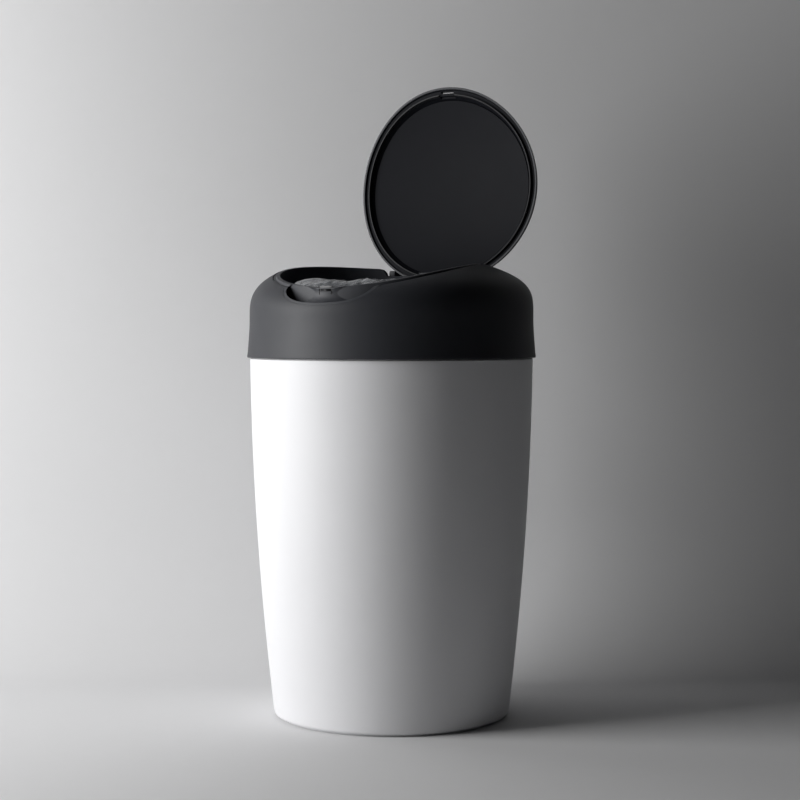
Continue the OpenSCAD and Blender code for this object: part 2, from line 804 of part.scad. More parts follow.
module film_gripper() {
    ring_t = 3;
    ring_z = tray_bottom - ring_t;
    ring_out = neck_r + 9;
    ring_in = neck_r + run_gap + 0.4;
    drop = grip_z + 1;
    t = 1.4;
    color(black) at_mouth() difference() {
        rotate_extrude() polygon([[ring_in, ring_z + ring_t], [ring_in, ring_z - neck_l + 6],
            [grip_r, drop], [grip_r, drop - t], [ring_in + 1.5, ring_z - neck_l + 4],
            [ring_in + 2.5, ring_z], [ring_out, ring_z], [ring_out, ring_z + ring_t]]);
        for (i = [0:fingers - 1]) rotate([0, 0, 360 * i / fingers])
            translate([0, -0.75, 0]) cube([ring_in - 1.5, 1.5, ring_z - neck_l + 8]);
    }
}

// Cutter: a guarded blade under the tray's front

cutter_at = tray_r - 12;
module cutter_guard() {
    depth = 12;
    wall = 3;
    color(white) at_mouth(tray_bottom - cutter_h) translate([0, -cutter_at, 0]) difference() {
        translate([-cutter_w / 2, -depth / 2, 0]) cube([cutter_w, depth, cutter_h]);
        rotate([90, 0, 0]) linear_extrude(depth + 2, center = true)
            polygon([[-cutter_w / 5, -1], [cutter_w / 5, -1], [0, cutter_h * 0.6]]);
        translate([wall - cutter_w / 2, -0.5, 0.15 * cutter_h]) cube([cutter_w - 2 * wall, 1, cutter_h]);
    }
}

module cutter_blade() {
    half = cutter_w / 2 - 3.4;
    color(steel) at_mouth(tray_bottom) translate([0, -cutter_at, 0]) rotate([90, 0, 0])
        linear_extrude(0.6, center = true)
        polygon([[-half, -0.3], [-half, -0.7 * cutter_h], [half, -0.45 * cutter_h], [half, -0.3]]);
}

// Click spring: a leaf whose nose drops between the ratchet teeth

module click_spring() {
    wall = tray_r - 0.1;
    leaf = wall - 0.6;
    nose = wall - 2.6;
    // Angle in degrees and radius of each corner
    outline = [[0, wall], [9, wall], [9, leaf], [4, leaf], [0.4, nose], [-0.4, nose],
        [-1.2, leaf], [-4, leaf], [-4, wall]];
    color(steel) at_mouth(carrier_z + 0.5) rotate([0, 0, 90 + 360 / teeth * 0.75])
        linear_extrude(tooth_band - 1) polygon([for (p = outline) p[1] * [cos(p[0]), sin(p[0])]]);
}

// Lid, drawn shut and turned to where it stands open

module lid_slot() {
    front_box(slot_w, slot_in, slot_out, catch_z, catch_z + far / 10);
}

module lid_arms() {
    top = well_r + 5;
    tip = arm_lean - arm_reach;
    outline = [[0, -0.8 * boss_r], [-arm_reach, -arm_low], [tip, arm_high], [tip, top], [0, top]];
    for (side = [-1, 1]) {
        intersection() {
            union() {
                about_hinge(arm_w, side * arm_x) polygon(outline);
                intersection() {
                    hinge_rod(roll_r - roll_wall / 2, arm_w, side * arm_x);
                    about_hinge(arm_w, side * arm_x) sector(roll_end, roll_top + 10);
                }
            }
            under_crown(lid_edge - roll_wall / 2);
        }
        hinge_rod(boss_r - 0.5, arm_w, side * arm_x);
    }
}

module lid_shell() {
    tail_w = roll_w;
    curtain = arm_x - arm_w / 2 - 1.5;
    color(charcoal) opened() difference() {
        union() {
            difference() {
                intersection() {
                    in_mouth(lid_r);
                    under_dome(lid_r, lid_edge, lid_rise);
                }
                under_crown(0.2);
            }
            intersection() {
                translate([-tail_w / 2, 0, hinge_z]) cube([tail_w, lid_back, far / 4]);
                crown_band(far / 4, lid_r - 12, lid_edge - roll_wall, lid_edge);
            }
            intersection() {
                difference() {
                    hinge_rod(roll_r, tail_w);
                    hinge_rod(roll_r - roll_wall, tail_w + 1);
                }
                about_hinge(tail_w) sector(roll_end, roll_top);
            }
            intersection() {
                translate([-curtain, 0, notch_z + 0.8]) cube([2 * curtain, lid_back + 1, far]);
                in_mouth(lid_r);
                under_crown(1);
            }
            lid_arms();
        }
        intersection() {
            in_mouth(lid_r - lid_wall);
            under_dome(lid_r, lid_edge - lid_wall, lid_rise);
        }
        lid_slot();
        hinge_rod(pin_r + pin_fit, 2 * well_w);
    }
}

step_rise = (panel_lift - flange_lift) / (1 - pow(panel_r / step_r, 2));
liner_r = lid_r - lid_wall - 0.3;

module lid_liner() {
    skin = 1.4;
    recess_r = step_r + 0.3;
    color(black) opened() difference() {
        union() {
            intersection() {
                in_mouth(liner_r);
                under_crown(flange_lift + liner_wall);
            }
            intersection() {
                under_dome(step_r + skin, flange_lift, step_rise);
                under_dome(panel_r, panel_lift + liner_wall, panel_rise);
            }
            intersection() {
                front_box(recess_w + 2, panel_r - 4, recess_r + 0.8, 0, far);
                under_crown(recess_lift + 0.8);
            }
        }
        under_crown(flange_lift);
        intersection() {
            under_dome(step_r, flange_lift, step_rise);
            under_dome(panel_r, panel_lift, panel_rise);
        }
        intersection() {
            front_box(recess_w, panel_r - 4, recess_r, 0, far);
            under_crown(recess_lift);
        }
        lid_slot();
    }
}

module lid_seal() {
    color(black) opened() difference() {
        crown_band(collar_r - 0.3, step_r + 0.1, flange_lift - seal_h, flange_lift);
        front_box(recess_w + 1, panel_r, mouth_r, 0, far);
    }
}

tub();
housing();
collar();
latch_catch();
hinge_pin_left();
hinge_pin_right();
tray();
tray_screws();
click_spring();
film_gripper();
cutter_guard();
cutter_blade();
lid_shell();
lid_liner();
lid_seal();
twist_ring();
cassette_cup();
cassette_cap();
film_pack();
film_sleeve();
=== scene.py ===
import math
import bpy
from mathutils import Matrix, Vector, noise


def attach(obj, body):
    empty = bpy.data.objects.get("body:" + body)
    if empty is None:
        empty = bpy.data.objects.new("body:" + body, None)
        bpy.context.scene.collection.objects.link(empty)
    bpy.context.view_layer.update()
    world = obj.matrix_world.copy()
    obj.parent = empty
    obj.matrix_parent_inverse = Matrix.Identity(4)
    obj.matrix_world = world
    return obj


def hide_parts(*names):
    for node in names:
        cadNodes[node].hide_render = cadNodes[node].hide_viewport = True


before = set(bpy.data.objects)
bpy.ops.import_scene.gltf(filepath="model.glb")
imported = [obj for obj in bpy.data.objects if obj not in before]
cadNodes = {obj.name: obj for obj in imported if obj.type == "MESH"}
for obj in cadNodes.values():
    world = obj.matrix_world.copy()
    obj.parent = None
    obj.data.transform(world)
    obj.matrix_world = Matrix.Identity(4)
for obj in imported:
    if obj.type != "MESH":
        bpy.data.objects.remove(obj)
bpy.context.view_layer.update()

# Nappy bin with its lid open: a white tub, a dark head with a mouth for film, and a round lid.
mm = 0.001
turn = 2 * math.pi
aboveHead, aboveLip, belowHead = 430, 420, 300    # heights in mm that cutters reach up or down to
print("frame loaded with", len(cadNodes), "nodes")


def deselectAll():
    if bpy.context.object and bpy.context.object.mode != "OBJECT":
        bpy.ops.object.mode_set(mode="OBJECT")
    bpy.ops.object.select_all(action="DESELECT")


def pick(obj):
    deselectAll()
    obj.select_set(True)
    bpy.context.view_layer.objects.active = obj


def weld(obj, gap=0.00001):
    pick(obj)
    bpy.ops.object.mode_set(mode="EDIT")
    bpy.ops.mesh.select_all(action="SELECT")
    bpy.ops.mesh.remove_doubles(threshold=gap)
    bpy.ops.mesh.normals_make_consistent(inside=False)
    bpy.ops.object.mode_set(mode="OBJECT")


def smooth(obj, angle=32):
    pick(obj)
    bpy.ops.object.shade_smooth_by_angle(angle=math.radians(angle))


def modify(obj, kind, **settings):
    pick(obj)
    mod = obj.modifiers.new(kind.lower(), kind)
    for key, value in settings.items():
        setattr(mod, key, value)
    bpy.ops.object.modifier_apply(modifier=mod.name)


def combine(obj, other, how="DIFFERENCE"):
    modify(obj, "BOOLEAN", operation=how, solver="MANIFOLD", object=other)
    bpy.data.objects.remove(other, do_unlink=True)


def rollGrid(name, rings, sides=256):
    # a flat grid rolled up: each ring is a function that gives the point, in mm, at an angle
    rows = len(rings) - 1
    deselectAll()
    bpy.ops.mesh.primitive_grid_add(x_subdivisions=sides, y_subdivisions=rows, size=2)
    obj = bpy.context.object
    obj.name = obj.data.name = name
    for v in obj.data.vertices:
        side = round((v.co.x + 1) / 2 * sides) % sides
        row = round((v.co.y + 1) / 2 * rows)
        v.co = Vector(rings[row](turn * side / sides)) * mm
    weld(obj)
    return obj


def blockAt(low, high, name="block"):
    deselectAll()
    middle = [(a + b) / 2 * mm for a, b in zip(low, high)]
    bpy.ops.mesh.primitive_cube_add(size=1, location=middle)
    obj = bpy.context.object
    obj.name = obj.data.name = name
    obj.scale = [(b - a) * mm for a, b in zip(low, high)]
    bpy.ops.object.transform_apply(location=True, rotation=True, scale=True)
    return obj


def rodAlongX(y, z, radius, low, high, name="rod", sides=96):
    deselectAll()
    bpy.ops.mesh.primitive_cylinder_add(vertices=sides, radius=radius * mm, depth=(high - low) * mm,
                                        location=((low + high) / 2 * mm, y * mm, z * mm),
                                        rotation=(0, math.pi / 2, 0))
    obj = bpy.context.object
    obj.name = obj.data.name = name
    bpy.ops.object.transform_apply(location=True, rotation=True, scale=True)
    return obj


def slabAlongX(outline, low, high, name="slab"):
    # an outline of (y, z) points in mm, extruded along X
    deselectAll()
    bpy.ops.mesh.primitive_circle_add(vertices=len(outline), radius=1, fill_type="NGON")
    obj = bpy.context.object
    obj.name = obj.data.name = name
    for v, (y, z) in zip(obj.data.vertices, outline):
        v.co = Vector((low, y, z)) * mm
    bpy.ops.object.mode_set(mode="EDIT")
    bpy.ops.mesh.select_all(action="SELECT")
    bpy.ops.mesh.extrude_region_move(TRANSFORM_OT_translate={"value": ((high - low) * mm, 0, 0)})
    bpy.ops.mesh.select_all(action="SELECT")
    bpy.ops.mesh.normals_make_consistent(inside=False)
    bpy.ops.object.mode_set(mode="OBJECT")
    return obj


def softened(points, steps=4):
    # points are (across, up, radius): each corner with a radius is rounded
    done = []
    for i, (x, z, r) in enumerate(points):
        if not r or i in (0, len(points) - 1):
            done.append((x, z))
            continue
        here = Vector((x, z))
        before = Vector(points[i - 1][:2]) - here
        after = Vector(points[i + 1][:2]) - here
        a = here + before.normalized() * min(r, before.length * 0.49)
        b = here + after.normalized() * min(r, after.length * 0.49)
        for k in range(steps + 1):
            t = k / steps
            p = a * (1 - t) ** 2 + here * 2 * t * (1 - t) + b * t ** 2
            done.append((p.x, p.y))
    return done


def turned(points):
    return [lambda a, r=r, z=z: (r * math.cos(a), r * math.sin(a), z) for r, z in points]


# Camera

cameraView = {"azimuth": 29.56, "away": 1.61963, "height": 0.3361, "tilt": 2.22, "lens": 83.904, "sensor": 36,
              "shift": 0.01059, "near": 0.05, "far": 30}


def addCamera():
    c = cameraView
    a = math.radians(c["azimuth"])
    deselectAll()
    bpy.ops.object.camera_add(location=(c["away"] * math.sin(a), -c["away"] * math.cos(a), c["height"]),
                              rotation=(math.radians(90 - c["tilt"]), 0, a))
    camera = bpy.context.object
    camera.data.sensor_width = c["sensor"]
    camera.data.lens = c["lens"]
    camera.data.shift_x = c["shift"]
    camera.data.clip_start = c["near"]
    camera.data.clip_end = c["far"]
    bpy.context.scene.camera = camera
    print("camera placed")


addCamera()
azimuth = math.radians(cameraView["azimuth"])
toRight = Vector((math.cos(azimuth), math.sin(azimuth), 0))
toBack = Vector((-math.sin(azimuth), math.cos(azimuth), 0))


# Shader maths

class Wire:
    def __init__(self, shader, socket):
        self.shader = shader
        self.socket = socket

    def math(self, how, other, clamp=False):
        return self.shader.add("ShaderNodeMath", {"operation": how, "use_clamp": clamp}, {0: self, 1: other})

    def __add__(self, other): return self.math("ADD", other)
    def __sub__(self, other): return self.math("SUBTRACT", other)
    def __mul__(self, other): return self.math("MULTIPLY", other)
    def __truediv__(self, other): return self.math("DIVIDE", other)

    def clamp(self): return self.math("ADD", 0, clamp=True)
    def between(self, low, high): return ((self - low) / (high - low)).clamp()


class Shader:
    def __init__(self, name):
        self.material = bpy.data.materials.new(name)
        self.material.use_nodes = True
        self.tree = self.material.node_tree
        self.tree.nodes.clear()

    def add(self, kind, settings=None, inputs=None, output=0):
        node = self.tree.nodes.new(kind)
        for key, value in (settings or {}).items():
            setattr(node, key, value)
        for key, value in (inputs or {}).items():
            socket = node.inputs[key]
            if isinstance(value, Wire):
                self.tree.links.new(value.socket, socket)
            elif isinstance(value, tuple) and socket.type == "RGBA":
                socket.default_value = (*value, 1)
            else:
                socket.default_value = value
        return Wire(self, node.outputs[output])

    def place(self, scale=(1, 1, 1)):
        spot = self.add("ShaderNodeTexCoord", output=3)
        return self.add("ShaderNodeMapping", {}, {"Vector": spot, "Scale": scale})

    def grain(self, where, scale, detail=4, roughness=0.55):
        return self.add("ShaderNodeTexNoise", {},
                        {"Vector": where, "Scale": scale, "Detail": detail, "Roughness": roughness})

    def mix(self, factor, a, b):
        return self.add("ShaderNodeMix", {"data_type": "RGBA"}, {0: factor, 6: a, 7: b}, output=2)

    def bump(self, height, strength, distance):
        return self.add("ShaderNodeBump", {}, {"Height": height, "Strength": strength, "Distance": distance})

    def finish(self, surface):
        out = self.tree.nodes.new("ShaderNodeOutputMaterial")
        self.tree.links.new(surface.socket, out.inputs["Surface"])
        return self.material

    def plastic(self, **sockets):
        names = {"color": "Base Color", "rough": "Roughness", "normal": "Normal", "metal": "Metallic",
                 "alpha": "Alpha", "coat": "Coat Weight", "coatRough": "Coat Roughness",
                 "gloss": "Specular IOR Level"}
        return self.add("ShaderNodeBsdfPrincipled", {}, {names[k]: v for k, v in sockets.items()})


def mouldedPlastic(name, color, rough, grainDepth=0.00002, grainSize=1400, spread=0.06, roughSpread=0.08,
                   gloss=0.5):
    s = Shader(name)
    where = s.place()
    cloud = s.grain(where, scale=9, detail=3)
    fine = s.grain(where, scale=grainSize, detail=2, roughness=0.5)
    smudge = s.grain(where, scale=38, detail=5, roughness=0.62)
    darker = tuple(c * (1 - spread) for c in color)
    lighter = tuple(min(1, c * (1 + spread)) for c in color)
    tint = s.mix(cloud.between(0.3, 0.7), darker, lighter)
    shine = (smudge - 0.5) * roughSpread + rough
    return s.finish(s.plastic(color=tint, rough=shine, normal=s.bump(fine, 1.0, grainDepth), gloss=gloss))


# Each is a name, a color and a roughness, then the grain's depth in metres and its fineness, and how far the color
# and the roughness vary, and the gloss
finishes = {
    "tub": mouldedPlastic("tubWhite", (0.80, 0.80, 0.815), 0.50, 0.000006, 900, 0.012, 0.05, 0.35),
    "housing": mouldedPlastic("housingCharcoal", (0.025, 0.0265, 0.032), 0.54, 0.00002, 1500, 0.05, 0.06, 0.44),
    "collar": mouldedPlastic("collarCharcoal", (0.040, 0.042, 0.049), 0.54, 0.00002, 1300, 0.05, 0.08, 0.44),
    "lid": mouldedPlastic("lidCharcoal", (0.024, 0.0255, 0.031), 0.50, 0.00002, 1500, 0.05, 0.06, 0.4),
    "liner": mouldedPlastic("linerBlack", (0.0085, 0.009, 0.0115), 0.46, 0.000008, 900, 0.06, 0.05, 0.05),
    "trim": mouldedPlastic("trimBlack", (0.018, 0.018, 0.020), 0.38),
    "inner": mouldedPlastic("innerPlastic", (0.055, 0.057, 0.063), 0.38),
    "rubber": mouldedPlastic("sealRubber", (0.014, 0.014, 0.016), 0.62, 0.00003, 800),
    "guard": mouldedPlastic("guardWhite", (0.72, 0.72, 0.73), 0.35),
    "cassette": mouldedPlastic("cassettePlastic", (0.46, 0.52, 0.57), 0.28),
}


def brushedSteel():
    s = Shader("steel")
    lines = s.grain(s.place(scale=(40, 900, 900)), scale=1.0, detail=3)
    tint = s.mix(lines, (0.46, 0.47, 0.49), (0.62, 0.63, 0.65))
    scratches = s.bump(lines, 0.3, 0.00002)
    return s.finish(s.plastic(color=tint, metal=1.0, rough=lines * 0.15 + 0.24, normal=scratches))


def thinFilm():
    s = Shader("filmClear")
    where = s.place()
    crease = s.grain(where, scale=120, detail=6, roughness=0.6)
    wide = s.grain(where, scale=34, detail=3)
    veil = s.add("ShaderNodeLayerWeight", {}, {"Blend": 0.42}, output=1)
    cover = (veil * 0.75 + 0.20 + (wide - 0.5) * 0.25).clamp()
    tint = s.mix(wide, (0.20, 0.21, 0.225), (0.38, 0.39, 0.41))
    wrinkles = s.bump(crease + wide, 0.8, 0.0008)
    return s.finish(s.plastic(color=tint, rough=crease * 0.14 + 0.14, alpha=cover, normal=wrinkles,
                              coat=0.4, coatRough=0.08))


finishes["steel"] = brushedSteel()
finishes["film"] = thinFilm()


def wear(obj, finish):
    obj.data.materials.clear()
    obj.data.materials.append(finishes[finish])


def finishPiece(obj, body, finish, slot, *nodes, angle=32):
    smooth(obj, angle)
    wear(obj, finish)
    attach(obj, body)
    if nodes:
        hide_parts(*nodes)
    print("made", obj.name, len(obj.data.polygons), "faces")


# The crown: heights follow a wide curve from front to back, the outline runs from a circle to the mouth's edge

head = {"edgeZ": 310.4, "r": 122.8, "flare": 2.2, "flareH": 33.0, "wall": 2.3, "sideZ": 344.0, "crownZ": 390.4,
        "crownR": 380.0, "crownY": 22.0, "mouthR": 90.3, "mouthY": 22.45, "lipShift": 4.5, "bulge": 2.5,
        "bulgeReach": 28}


def crownAt(y, lift=0.0):
    return head["crownZ"] - head["crownR"] + math.sqrt((head["crownR"] + lift) ** 2 - (y - head["crownY"]) ** 2)


def mouthAt(a):
    return -head["mouthY"] * math.sin(a) + math.sqrt(head["mouthR"] ** 2 - (head["mouthY"] * math.cos(a)) ** 2)


def crownPoint(a, w, inset=0.0):
    edge = mouthAt(a)
    side = head["r"] - inset
    r = side - (side - edge) * w ** (head["bulge"] + (head["r"] - edge) / head["bulgeReach"])
    top = crownAt(edge * math.sin(a)) - inset
    return Vector((r * math.cos(a), r * math.sin(a), head["sideZ"] + (top - head["sideZ"]) * w))


def aboutMouth(points, share=None):
    # points are (radius, lift above the crown's curve); share says how far a ring follows the lip's curve instead
    def ring(radius, lift):
        def at(a):
            x, y = radius * math.cos(a), -head["mouthY"] + radius * math.sin(a)
            part = share(radius) if share else 0
            return (x, y, crownAt(y, lift) * (1 - part) + (crownAt(y + head["lipShift"]) + lift) * part)
        return at
    return [ring(r, lift) for r, lift in points]


# Tub

tubSizes = {"baseR": 101.9, "topR": 122.3, "bow": 4.2, "wall": 2.4, "floor": 3.0, "footZ": 1.8, "footOut": 98.0,
            "footW": 4.0, "stepZ": 309.6, "topZ": 328.3, "neckStep": 2.1, "edgeRound": 3.4, "edgeIn": 0.4,
            "neckLow": 3, "shoulder": 4, "cove": 8}


def tubSide(z):
    t = tubSizes
    return t["baseR"] + (t["topR"] - t["baseR"]) * z / t["stepZ"] + t["bow"] * (1 - (2 * z / t["stepZ"] - 1) ** 2)


def buildTub():
    t = tubSizes
    foot, low, step, top = t["footZ"], t["footZ"] + t["edgeRound"], t["stepZ"], t["topZ"]
    neck, wall = t["topR"] - t["neckStep"], t["wall"]
    floor, shoulder = foot + t["floor"], step - t["shoulder"]
    footIn, footOut = t["footOut"] - t["footW"], t["footOut"]
    outside = [low + (step - 1 - low) * i / 60 for i in range(61)]
    inside = [shoulder - (shoulder - floor - t["cove"]) * i / 30 for i in range(31)]
    ring = [(0, foot, 0), (footIn, foot, 0.5), (footIn, 0, 0.6), (footOut, 0, 0.6),
            (footOut, foot, 0.3), (tubSide(foot) - t["edgeIn"], foot, 2.2)]
    ring += [(tubSide(z), z, 0) for z in outside]
    ring += [(tubSide(step), step, 0.5), (neck, step, 0.5), (neck, top, 0.8), (neck - wall, top, 0.8)]
    ring += [(neck - wall, step + t["neckLow"], 1.5)]
    ring += [(tubSide(z) - wall, z, 0) for z in inside]
    ring += [(tubSide(floor) - wall, floor, 5.0), (0, floor, 0)]
    tub = rollGrid("tubShell", turned(softened(ring)))
    finishPiece(tub, "base", "tub", "tub_white", "tub")


buildTub()


# Head: the housing is one moulding from the skirt to the mouth's edge

scoopSizes = {"r": 8.35, "bend": 43.0, "y": -74.85, "drop": 1.5, "wall": 2.0, "gap": 0.2}
hingeSizes = {"y": 71.5, "z": 373.5, "wellW": 47.0, "wall": 2.0, "pinR": 2.5, "lean": 28.5, "frontY": 63.55,
              "lugIn": 29.0, "lugW": 5.0, "armW": 6.0, "armX": 38.5, "armReach": 13.6, "armLow": 5.0,
              "armHigh": 6.6, "armLean": 1.4, "bossR": 6.0, "gap": 1.0}
lidSizes = {"r": 89.5, "edge": 5.5, "rise": 14.0, "wall": 1.9, "open": 101.3, "stepR": 82.3, "panelR": 79.3,
            "flange": 2.2, "panel": 5.0, "panelRise": 4.3, "linerWall": 1.0}
latchSizes = {"r": 85.7, "w": 6.3, "slot": 1.0, "low": 1, "high": 40}
scoopZ = crownAt(-head["mouthY"] - head["mouthR"]) - scoopSizes["drop"]
lidBack = lidSizes["r"] - head["mouthY"]
lidBackZ = crownAt(lidBack) + lidSizes["edge"]
rollR = math.hypot(lidBack - hingeSizes["y"], lidBackZ - hingeSizes["z"])
rollTop = math.atan2(lidBackZ - hingeSizes["z"], lidBack - hingeSizes["y"])
wellR = rollR + hingeSizes["gap"]


def scoopTorus(grow, name="scoop"):
    deselectAll()
    s = scoopSizes
    bpy.ops.mesh.primitive_torus_add(major_radius=s["bend"] * mm, minor_radius=(s["r"] + grow) * mm,
                                     major_segments=240, minor_segments=96, location=(0, s["y"] * mm, scoopZ * mm))
    obj = bpy.context.object
    obj.name = obj.data.name = name
    bpy.ops.object.transform_apply(location=True, rotation=True, scale=True)
    return obj


def mouthCorner(t, bend=0.7, before=0.97):
    # the rounded edge of the mouth, from the crown's skin over to the wall of the hole
    def at(a):
        edge = crownPoint(a, 1)
        back = crownPoint(a, before)
        start = edge + (back - edge).normalized() * bend
        end = edge - Vector((0, 0, bend))
        return start * (1 - t) ** 2 + edge * 2 * t * (1 - t) + end * t ** 2
    return at


def skirtRing(z, inset=0.0):
    t = min(1, (z - head["edgeZ"]) / head["flareH"])
    r = head["r"] + head["flare"] * (1 - t) ** 1.5 - inset
    return lambda a: (r * math.cos(a), r * math.sin(a), z)


housingSizes = {"footIn": 0.9, "footChamfer": 0.3, "footRound": 0.8, "footTaper": 0.06, "footH": 2,
                "skinEnd": 0.985, "pocketGap": 0.4, "pocketFront": 26, "pocketLow": 16, "pocketBack": 3.5,
                "pocketRound": 2}


def buildHousing():
    s, h = housingSizes, hingeSizes
    low, top, wall = head["edgeZ"], head["sideZ"], head["wall"]
    outerR, innerR = head["r"] + head["flare"], head["r"] + head["flare"] - wall
    foot = softened([(innerR + s["footIn"], low, 0), (outerR, low, s["footRound"]),
                     (outerR - s["footTaper"], low + s["footH"], 0)])
    rings = turned(foot)
    rings += [skirtRing(low + s["footH"] + (top - low - s["footH"]) * i / 16) for i in range(1, 17)]
    rings += [lambda a, w=i / 56 * s["skinEnd"]: crownPoint(a, w) for i in range(1, 57)]
    rings += [mouthCorner(k / 5) for k in range(6)]
    rings += [lambda a: crownPoint(a, 1) - Vector((0, 0, wall))]
    rings += [lambda a, w=1 - i / 24: crownPoint(a, w, wall) for i in range(1, 25)]
    rings += [skirtRing(top - (top - low - 1) * i / 8, wall) for i in range(1, 9)]
    rings += turned([(innerR + s["footChamfer"], low + s["footChamfer"]), (innerR + s["footIn"], low)])
    housing = rollGrid("headHousing", rings, 288)
    side = h["wellW"] + h["wall"] + s["pocketGap"]
    rear = h["y"] + wellR + (h["wall"] + s["pocketGap"]) / math.cos(math.radians(h["lean"])) + s["pocketBack"]
    pocket = blockAt((-side, h["y"] - s["pocketFront"], h["z"] - s["pocketLow"]), (side, rear, aboveHead))
    modify(pocket, "BEVEL", width=s["pocketRound"] * mm, segments=4, limit_method="ANGLE")
    combine(housing, pocket)
    combine(housing, scoopTorus(scoopSizes["wall"] + scoopSizes["gap"]))
    finishPiece(housing, "head", "housing", "housing_charcoal", "housing", angle=38)


buildHousing()


def underSkin(inset, name="underSkin"):
    # all that lies under the crown's skin, as a closed form
    low, high = 280, head["crownZ"] + 2
    rings = [lambda a: (math.cos(a), math.sin(a) - head["mouthY"], low)]
    rings += [lambda a: (*crownPoint(a, 0, inset).xy, low)]
    rings += [lambda a, w=i / 40: crownPoint(a, w, inset) for i in range(41)]
    rings += [lambda a: (math.cos(a), math.sin(a) - head["mouthY"], high)]
    rings += [rings[0]]
    return rollGrid(name, rings, 192)


def wellForm(r, width, front, gain, name):
    # a round trough about the hinge that opens into a leaning wall behind it
    y, z, lean, tall = hingeSizes["y"], hingeSizes["z"], math.radians(hingeSizes["lean"]), 40
    bends = [math.radians(-k) for k in range(2, 180, 3)]
    arc = [(y + r * math.cos(b), z + r * math.sin(b)) for b in bends if r * math.cos(b) > front]
    low = z - math.sqrt(max(0, r * r - front * front))
    rear = y + wellR + gain
    outline = [(y + front, z + tall), (rear + tall * math.tan(lean), z + tall), (rear, z)]
    return slabAlongX(outline + arc + [(y + front, low)], -width / 2, width / 2, name)


def mouthCore(r, name="core"):
    core = rollGrid(name, turned([(0, belowHead), (r, belowHead), (r, aboveHead), (0, aboveHead)]), 288)
    core.data.transform(Matrix.Translation((0, -head["mouthY"] * mm, 0)))
    return core


def underCrown(front, back, low, lift, steps=8):
    # an outline between a level floor and the crown's curve
    across = [back + (front - back) * i / steps for i in range(steps + 1)]
    return [(front, low), (back, low)] + [(y, crownAt(y, lift)) for y in across]


# seat is where the lid's edge comes to rest, and inside it the lip steps up; the deck carries the notch in front of
# the hinge, with a lowered end on each side
collarSizes = {"in": 84.0, "wall": 2.0, "out": 89.9, "bottom": 348.7, "chamfer": 0.5, "lip": 0.2, "seat": -0.55,
               "stepOut": 87.75, "stepIn": 87.3, "blendR": 87.7, "blendW": 0.4, "flangeLow": -2.7, "flangeIn": 87.9,
               "bandLow": -8.5, "inLow": -6, "scoopGap": 0.02, "hollowGap": 0.05, "under": 0.1, "wellUnder": 0.2,
               "deckW": 49, "deckFront": 36, "deckLow": 2.7, "deckSink": 0.5, "deckBack": 1,
               "endsW": 46.6, "endsFront": 25, "endsLow": 2.2, "endsSink": 0.52, "endIn": 34.2, "endOut": 44.6,
               "endBack": 58, "notchZ": 382.5, "notchW": 35.2, "notchFront": 40, "notchBack": 60,
               "notchRound": 9.4, "notchDrop": 0.8, "roundY": 50, "roundL": 60, "seamFront": 57, "seamBack": 70,
               "wellIn": 0.7, "wellFront": 1.1, "behind": 140, "webIn": 0.5, "webH": 5.4,
               "pocketFront": 2.2, "pocketBack": 66, "pocketHalf": 60, "pocketEnd": 120, "pocketLow": 340,
               "pinX": 42, "pinHalf": 12, "pinGap": 0.02}
windowSizes = {"front": -112.75, "back": -108.15, "low": 3.4, "high": 1.4, "slotLow": 6}


def notchEnd(side):
    # the lowered end of the notch: a block less the round shoulder that stays
    c = collarSizes
    low, high = sorted((side * c["endIn"], side * c["endOut"]))
    end = blockAt((low, c["notchFront"], c["notchZ"]), (high, c["endBack"], aboveLip))
    deselectAll()
    bpy.ops.mesh.primitive_cylinder_add(
        vertices=96, radius=c["notchRound"] * mm, depth=c["roundL"] * mm, rotation=(math.pi / 2, 0, 0),
        location=(side * c["endOut"] * mm, c["roundY"] * mm,
                  (head["crownZ"] - c["notchDrop"] - c["notchRound"]) * mm))
    bpy.ops.object.transform_apply(location=True, rotation=True, scale=True)
    combine(end, bpy.context.object)
    return end


